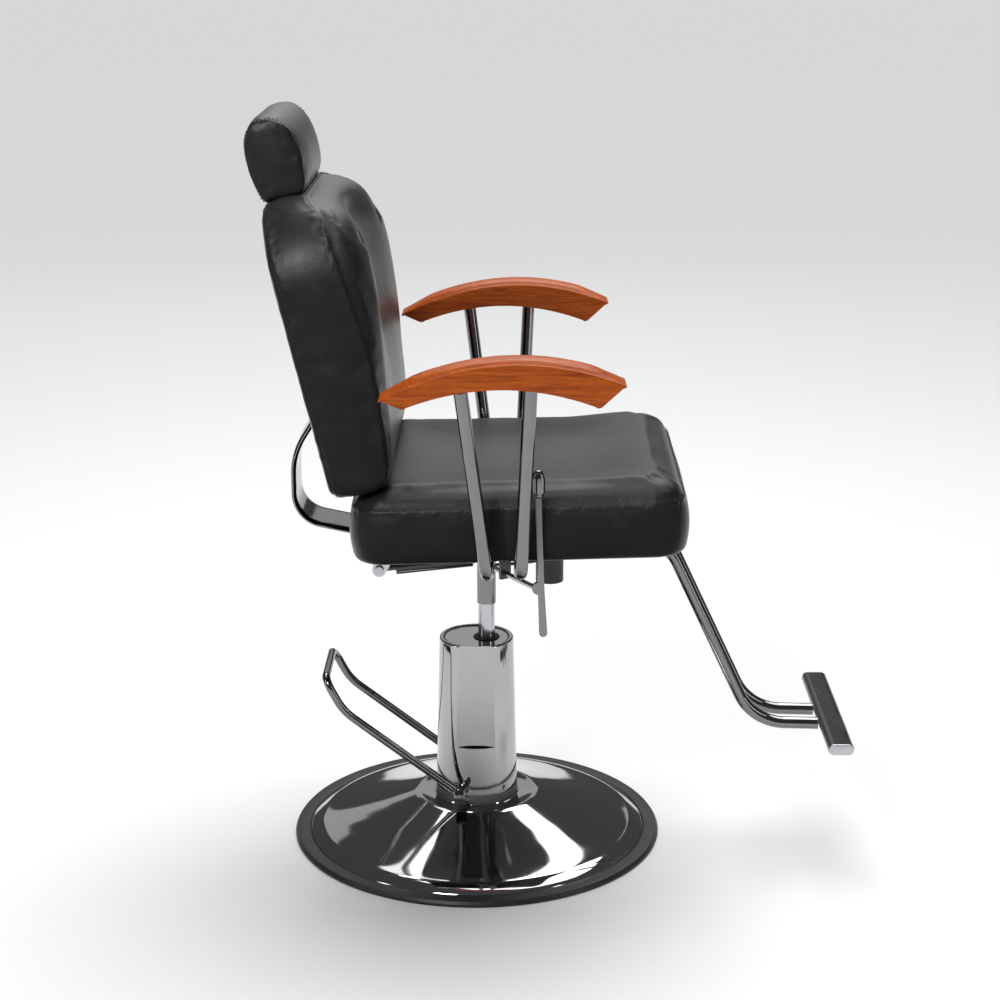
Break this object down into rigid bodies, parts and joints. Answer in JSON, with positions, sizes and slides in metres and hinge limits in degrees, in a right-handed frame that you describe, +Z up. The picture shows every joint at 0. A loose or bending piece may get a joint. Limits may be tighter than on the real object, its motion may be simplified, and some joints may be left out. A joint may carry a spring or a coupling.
{
  "type": "hydraulic barber chair",
  "caption": "Hydraulic barber chair with a round base, foot pump pedal, reclining padded back, sliding headrest, curved wooden armrests, side lever and T-shaped footrest.",
  "frame": {"origin": "on the axis of the lifting ram, at floor level", "axes": "+Z up; the chair faces -Y; +X is the sitter's left, and the recline lever is on the -X side"},
  "size_m": [0.67, 0.9017, 1.154],
  "materials": {
    "trim_rubber": "matt moulded rubber",
    "chrome_shell": "bright chrome plate",
    "dark_steel": "satin black paint",
    "zinc_steel": "zinc plated",
    "cast_body": "painted casting",
    "bronze": "machined bronze",
    "seal_rubber": "nitrile rubber",
    "ground_steel": "ground and polished",
    "chrome_tube": "bright chrome plate",
    "plywood": "raw plywood",
    "black_leather": "smooth black leatherette with a soft sheen",
    "black_plastic": "moulded black plastic",
    "black_paint": "gloss black paint",
    "varnished_wood": "clear gloss varnish over orange-brown hardwood",
    "ribbed_metal": "dark anodised, brushed"
  },
  "bodies": {
    "base": {"base_trim_ring": "trim_rubber", "base_dome": "chrome_shell", "reinforcement_plate": "dark_steel", "base_bolts": "zinc_steel", "pump_body": "cast_body", "oil_reservoir": "cast_body", "guide_bush": "bronze", "ram_seal": "seal_rubber", "pump_cover": "chrome_shell", "cover_screws": "zinc_steel"},
    "pedal": {"pedal_axle": "ground_steel", "pedal_knuckles": "chrome_tube", "pedal_rod": "chrome_tube", "pump_rocker": "ground_steel"},
    "plunger": {"pump_plunger": "ground_steel", "plunger_spring": "ground_steel"},
    "lift": {"ram": "ground_steel", "ram_piston": "ground_steel", "piston_seal": "seal_rubber", "thrust_washer": "bronze"},
    "back": {"hinge_pin": "zinc_steel", "back_strap": "chrome_tube", "crank_plates": "ground_steel", "crank_pin": "zinc_steel", "strap_bolts": "zinc_steel", "back_board": "plywood", "back_cushion": "black_leather", "headrest_guides": "black_plastic"},
    "gas_body": {"gas_cylinder": "black_paint"},
    "gas_ram": {"gas_rod": "ground_steel"},
    "lever": {"lever_shaft": "ground_steel", "recline_lever": "chrome_tube", "lever_knob": "chrome_tube"},
    "headrest": {"headrest_cushion": "black_leather", "headrest_posts": "ground_steel"},
    "seat": {"hub_sleeve": "chrome_tube", "swivel_hub": "dark_steel", "mounting_plate": "dark_steel", "plate_bolts": "zinc_steel", "seat_rails": "dark_steel", "cross_tubes": "dark_steel", "seat_board": "plywood", "seat_cushion": "black_leather", "hinge_ears": "dark_steel", "release_head": "black_plastic", "release_cable": "black_plastic", "lever_brackets": "dark_steel", "right_arm_posts": "chrome_tube", "left_arm_posts": "chrome_tube", "right_armrest": "varnished_wood", "left_armrest": "varnished_wood", "arm_screws": "zinc_steel", "foot_tubes": "chrome_tube", "foot_bar": "ribbed_metal", "foot_bar_caps": "black_plastic"}
  },
  "joints": [
    {"name": "ram_lift", "type": "slide", "parent": "base", "child": "lift", "axis": [0, 0, 1], "range_m": [-0.05, 0.1]},
    {"name": "seat_swivel", "type": "hinge", "parent": "lift", "child": "seat", "pos_m": [0, 0, 0.48], "axis": [0, 0, 1], "continuous": true},
    {"name": "back_recline", "type": "hinge", "parent": "seat", "child": "back", "pos_m": [0, 0.14, 0.495], "axis": [-1, 0, 0], "range_deg": [0, 40]},
    {"name": "gas_body_turn", "type": "hinge", "parent": "back", "child": "gas_body", "pos_m": [-0.036, 0.165, 0.449], "axis": [-1, 0, 0], "range_deg": [-38.5, 0.5]},
    {"name": "gas_ram_turn", "type": "hinge", "parent": "seat", "child": "gas_ram", "pos_m": [-0.036, -0.09338, 0.47798], "axis": [-1, 0, 0], "range_deg": [-0.2, 2.3]},
    {"name": "headrest_height", "type": "slide", "parent": "back", "child": "headrest", "axis": [0, 0.236, 0.9718], "range_m": [0, 0.08]},
    {"name": "lever_pull", "type": "hinge", "parent": "seat", "child": "lever", "pos_m": [-0.252, -0.075, 0.489], "axis": [-0.8387, -0.5446, 0], "range_deg": [0, 10], "stiffness_Nm_per_rad": 3, "springref_deg": -8.59},
    {"name": "pedal_press", "type": "hinge", "parent": "base", "child": "pedal", "pos_m": [0, 0.042, 0.088], "axis": [-1, 0, 0], "range_deg": [0, 28], "stiffness_Nm_per_rad": 8, "springref_deg": -28.65},
    {"name": "plunger_stroke", "type": "slide", "parent": "base", "child": "plunger", "axis": [0, 0, 1], "range_m": [-0.0005, 0.007], "deforming": ["plunger_spring"]}
  ],
  "couplings": [
    {"joint": "gas_body_turn", "follows": "back_recline", "ratio": -0.95},
    {"joint": "gas_ram_turn", "follows": "back_recline", "ratio": 0.05},
    {"joint": "plunger_stroke", "follows": "pedal_press", "m_per_rad": 0.013}
  ]
}
